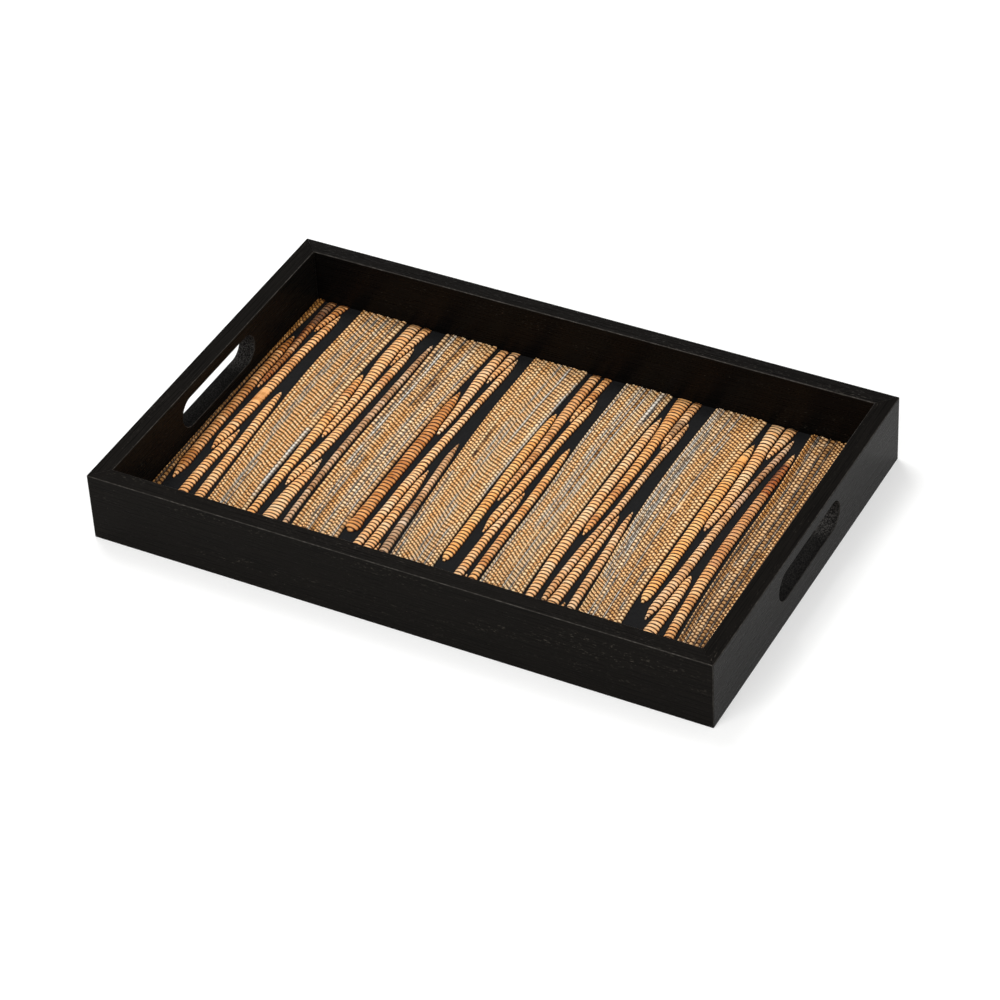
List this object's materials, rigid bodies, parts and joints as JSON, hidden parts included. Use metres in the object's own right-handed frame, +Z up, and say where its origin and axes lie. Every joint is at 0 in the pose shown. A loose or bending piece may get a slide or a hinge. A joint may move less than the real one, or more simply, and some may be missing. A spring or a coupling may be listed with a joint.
{
  "type": "serving tray",
  "caption": "Rectangular serving tray with a mitred black wooden frame, a round-ended hand slot in each end and a flat floor inlaid with dried water hyacinth stalks and woven bands.",
  "frame": {"origin": "centre of the underside, on the surface the tray stands on", "axes": "+X along the length towards the right hand slot, +Y across the width towards the back rail, +Z up"},
  "size_m": [0.46, 0.299, 0.053],
  "materials": {
    "stained_wood": "black stain, satin, open pores",
    "pale_wood": "unfinished",
    "stained_board": "black stain on plywood, matte",
    "black_cloth": "matte",
    "woven_straw": "matte dried fibre",
    "dried_stalk": "satin dried stalk"
  },
  "bodies": {
    "root": {"front_rail": "stained_wood", "back_rail": "stained_wood", "left_end_rail": "stained_wood", "right_end_rail": "stained_wood", "spline_front_left": "pale_wood", "spline_front_right": "pale_wood", "spline_back_left": "pale_wood", "spline_back_right": "pale_wood", "base_board": "stained_board", "ground_cloth": "black_cloth", "woven_band_1": "woven_straw", "woven_band_2": "woven_straw", "woven_band_3": "woven_straw", "woven_band_4": "woven_straw", "woven_band_5": "woven_straw", "woven_band_6": "woven_straw", "woven_band_7": "woven_straw", "stalk_1a": "dried_stalk", "stalk_1b": "dried_stalk", "stalk_1c": "dried_stalk", "stalk_1d": "dried_stalk", "stalk_1e": "dried_stalk", "stalk_1f": "dried_stalk", "stalk_2a": "dried_stalk", "stalk_2b": "dried_stalk", "stalk_2c": "dried_stalk", "stalk_2d": "dried_stalk", "stalk_2e": "dried_stalk", "stalk_2f": "dried_stalk", "stalk_3a": "dried_stalk", "stalk_3b": "dried_stalk", "stalk_3c": "dried_stalk", "stalk_3d": "dried_stalk", "stalk_3e": "dried_stalk", "stalk_3f": "dried_stalk", "stalk_3g": "dried_stalk", "stalk_4a": "dried_stalk", "stalk_4b": "dried_stalk", "stalk_4c": "dried_stalk", "stalk_4d": "dried_stalk", "stalk_4e": "dried_stalk", "stalk_4f": "dried_stalk", "stalk_4g": "dried_stalk", "stalk_5a": "dried_stalk", "stalk_5b": "dried_stalk", "stalk_5c": "dried_stalk", "stalk_5d": "dried_stalk", "stalk_5e": "dried_stalk", "stalk_5f": "dried_stalk", "stalk_5g": "dried_stalk", "stalk_6a": "dried_stalk", "stalk_6b": "dried_stalk", "stalk_6c": "dried_stalk", "stalk_6d": "dried_stalk", "stalk_6e": "dried_stalk", "stalk_6f": "dried_stalk"}
  },
  "joints": []
}
